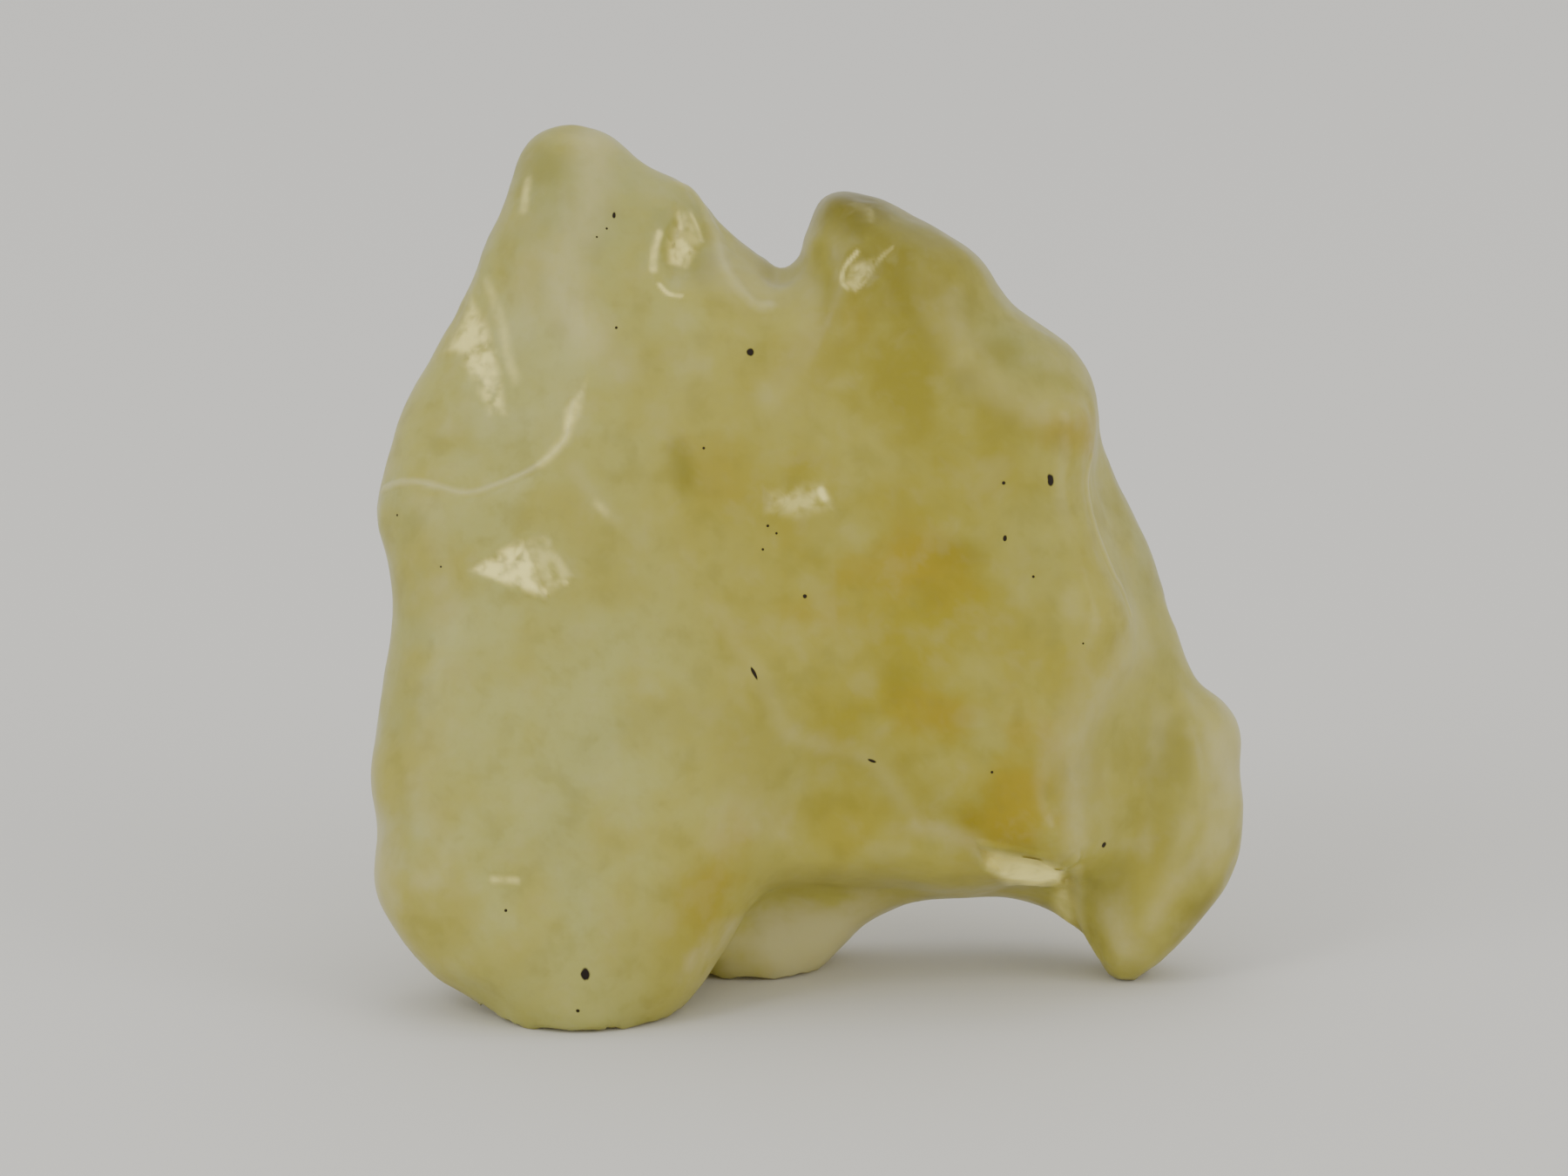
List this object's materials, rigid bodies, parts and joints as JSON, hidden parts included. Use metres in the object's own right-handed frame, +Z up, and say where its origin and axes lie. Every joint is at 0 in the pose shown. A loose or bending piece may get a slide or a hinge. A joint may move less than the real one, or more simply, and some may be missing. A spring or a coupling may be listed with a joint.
{
  "type": "desert glass specimen",
  "caption": "Natural lump of translucent yellow desert glass, wind-fluted, with a notched top and a low arch between its worn feet, on which it stands upright.",
  "frame": {"origin": "centre of the bounding box in plan, on the surface that the feet stand on", "axes": "+X to the right along the broad face, +Y from the broad face to the back, +Z up"},
  "size_m": [0.0358, 0.0186, 0.0342],
  "materials": {
    "desert_glass": "satin, wind-polished, milky and translucent, with small glossy spots and dark specks"
  },
  "bodies": {
    "root": {"desert_glass": "desert_glass"}
  },
  "joints": []
}
